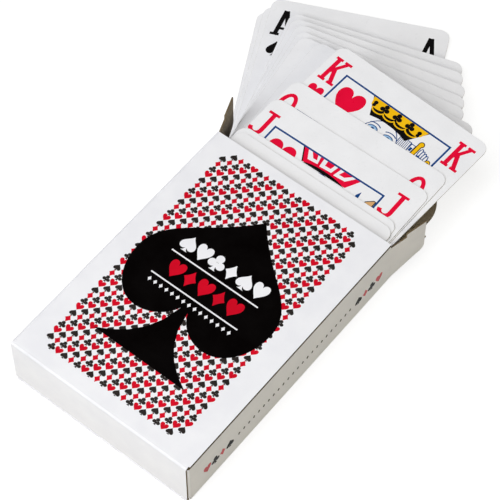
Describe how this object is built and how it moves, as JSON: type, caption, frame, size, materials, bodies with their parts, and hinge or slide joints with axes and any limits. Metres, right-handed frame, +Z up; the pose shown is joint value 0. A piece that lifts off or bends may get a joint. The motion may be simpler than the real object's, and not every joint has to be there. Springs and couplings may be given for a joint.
{
  "type": "playing card deck",
  "caption": "Deck of playing cards in an open tuck carton lying on its back, some cards drawn out and fanned; lid and flaps hinge, cards slide and swivel.",
  "frame": {"origin": "middle of the carton's back panel, on its outer face, on which the carton lies", "axes": "+Y out of the carton's mouth, +X to the right, +Z up from the back to the printed front"},
  "size_m": [0.0929, 0.175, 0.0196],
  "materials": {
    "printed_board": "satin",
    "bare_board": "matte",
    "card_stock": "satin"
  },
  "bodies": {
    "carton": {"carton_sleeve": "printed_board", "closed_end_panel": "printed_board", "closed_end_dust_flaps": "bare_board"},
    "lid": {"lid_panel": "bare_board"},
    "tongue": {"lid_tongue": "bare_board"},
    "left_flap": {"left_dust_flap": "bare_board"},
    "right_flap": {"right_dust_flap": "bare_board"},
    "squared_cards": {"king_of_diamonds": "card_stock", "queen_of_diamonds": "card_stock", "jack_of_diamonds": "card_stock", "ten_of_diamonds": "card_stock", "nine_of_diamonds": "card_stock", "seven_of_diamonds": "card_stock", "six_of_diamonds": "card_stock", "five_of_diamonds": "card_stock", "four_of_diamonds": "card_stock", "three_of_diamonds": "card_stock", "ace_of_diamonds": "card_stock", "king_of_clubs": "card_stock", "queen_of_clubs": "card_stock", "jack_of_clubs": "card_stock", "nine_of_clubs": "card_stock", "eight_of_clubs": "card_stock", "seven_of_clubs": "card_stock", "five_of_clubs": "card_stock", "four_of_clubs": "card_stock", "three_of_clubs": "card_stock", "ace_of_clubs": "card_stock", "jokers": "card_stock", "seven_of_hearts": "card_stock", "six_of_hearts": "card_stock", "five_of_hearts": "card_stock", "four_of_hearts": "card_stock", "three_of_hearts": "card_stock", "two_of_hearts": "card_stock", "ace_of_hearts": "card_stock", "king_of_spades": "card_stock", "queen_of_spades": "card_stock", "jack_of_spades": "card_stock", "ten_of_spades": "card_stock", "nine_of_spades": "card_stock", "eight_of_spades": "card_stock", "seven_of_spades": "card_stock", "six_of_spades": "card_stock", "five_of_spades": "card_stock", "four_of_spades": "card_stock"},
    "three_of_spades_card": {"three_of_spades": "card_stock"},
    "two_of_spades_card": {"two_of_spades": "card_stock"},
    "ace_of_spades_card": {"ace_of_spades": "card_stock"},
    "eight_of_diamonds_card": {"eight_of_diamonds": "card_stock"},
    "two_of_diamonds_card": {"two_of_diamonds": "card_stock"},
    "ten_of_clubs_card": {"ten_of_clubs": "card_stock"},
    "six_of_clubs_card": {"six_of_clubs": "card_stock"},
    "two_of_clubs_card": {"two_of_clubs": "card_stock"},
    "eight_of_hearts_card": {"eight_of_hearts": "card_stock"},
    "king_of_hearts_card": {"king_of_hearts": "card_stock"},
    "queen_of_hearts_card": {"queen_of_hearts": "card_stock"},
    "jack_of_hearts_card": {"jack_of_hearts": "card_stock"},
    "ten_of_hearts_card": {"ten_of_hearts": "card_stock"},
    "nine_of_hearts_card": {"nine_of_hearts": "card_stock"}
  },
  "joints": [
    {"name": "lid_crease", "type": "hinge", "parent": "carton", "child": "lid", "pos_m": [0, 0.04585, 0], "axis": [1, 0, 0], "range_deg": [-90, 0]},
    {"name": "tongue_crease", "type": "hinge", "parent": "lid", "child": "tongue", "pos_m": [0, 0.065, 0], "axis": [1, 0, 0], "range_deg": [-90, 0]},
    {"name": "left_flap_crease", "type": "hinge", "parent": "carton", "child": "left_flap", "pos_m": [-0.03185, 0.04585, 0], "axis": [0, 0, 1], "range_deg": [-2.5, 110]},
    {"name": "right_flap_crease", "type": "hinge", "parent": "carton", "child": "right_flap", "pos_m": [0.03185, 0.04585, 0], "axis": [0, 0, -1], "range_deg": [-4, 110]},
    {"name": "three_of_spades_swivel", "type": "hinge", "parent": "carton", "child": "three_of_spades_card", "pos_m": [-0.03117, 0.04585, 0], "axis": [0, 0, 1], "range_deg": [-27.5, 0]},
    {"name": "two_of_spades_swivel", "type": "hinge", "parent": "carton", "child": "two_of_spades_card", "pos_m": [-0.03076, 0.04585, 0], "axis": [0, 0, 1], "range_deg": [-26.3, 0]},
    {"name": "ace_of_spades_swivel", "type": "hinge", "parent": "carton", "child": "ace_of_spades_card", "pos_m": [-0.0303, 0.04585, 0], "axis": [0, 0, 1], "range_deg": [-24.9, 0]},
    {"name": "eight_of_diamonds_swivel", "type": "hinge", "parent": "carton", "child": "eight_of_diamonds_card", "pos_m": [-0.03108, 0.04585, 0], "axis": [0, 0, 1], "range_deg": [-17.5, 0]},
    {"name": "two_of_diamonds_swivel", "type": "hinge", "parent": "carton", "child": "two_of_diamonds_card", "pos_m": [-0.03117, 0.04585, 0], "axis": [0, 0, 1], "range_deg": [-15.7, 0]},
    {"name": "ten_of_clubs_swivel", "type": "hinge", "parent": "carton", "child": "ten_of_clubs_card", "pos_m": [-0.03117, 0.04585, 0], "axis": [0, 0, 1], "range_deg": [-13, 0]},
    {"name": "six_of_clubs_swivel", "type": "hinge", "parent": "carton", "child": "six_of_clubs_card", "pos_m": [-0.03111, 0.04585, 0], "axis": [0, 0, 1], "range_deg": [-10.9, 0]},
    {"name": "two_of_clubs_swivel", "type": "hinge", "parent": "carton", "child": "two_of_clubs_card", "pos_m": [-0.03108, 0.04585, 0], "axis": [0, 0, 1], "range_deg": [-8.7, 0]},
    {"name": "eight_of_hearts_swivel", "type": "hinge", "parent": "carton", "child": "eight_of_hearts_card", "pos_m": [-0.02962, 0.04585, 0], "axis": [0, 0, 1], "range_deg": [-3.6, 0]},
    {"name": "king_of_hearts_slide", "type": "slide", "parent": "carton", "child": "king_of_hearts_card", "axis": [0.0489, 0.9988, 0], "range_m": [-0.0495, 0.0401]},
    {"name": "queen_of_hearts_slide", "type": "slide", "parent": "carton", "child": "queen_of_hearts_card", "axis": [0.007, 1, 0], "range_m": [-0.0327, 0.0592]},
    {"name": "jack_of_hearts_slide", "type": "slide", "parent": "carton", "child": "jack_of_hearts_card", "axis": [-0.007, 1, 0], "range_m": [-0.0242, 0.0681]},
    {"name": "ten_of_hearts_slide", "type": "slide", "parent": "carton", "child": "ten_of_hearts_card", "axis": [-0.0052, 1, 0], "range_m": [-0.0099, 0.0824]},
    {"name": "nine_of_hearts_slide", "type": "slide", "parent": "carton", "child": "nine_of_hearts_card", "axis": [0.0035, 1, 0], "range_m": [-0.0076, 0.0845]},
    {"name": "squared_cards_slide", "type": "slide", "parent": "carton", "child": "squared_cards", "axis": [0, 1, 0], "range_m": [0, 0.0908]}
  ]
}
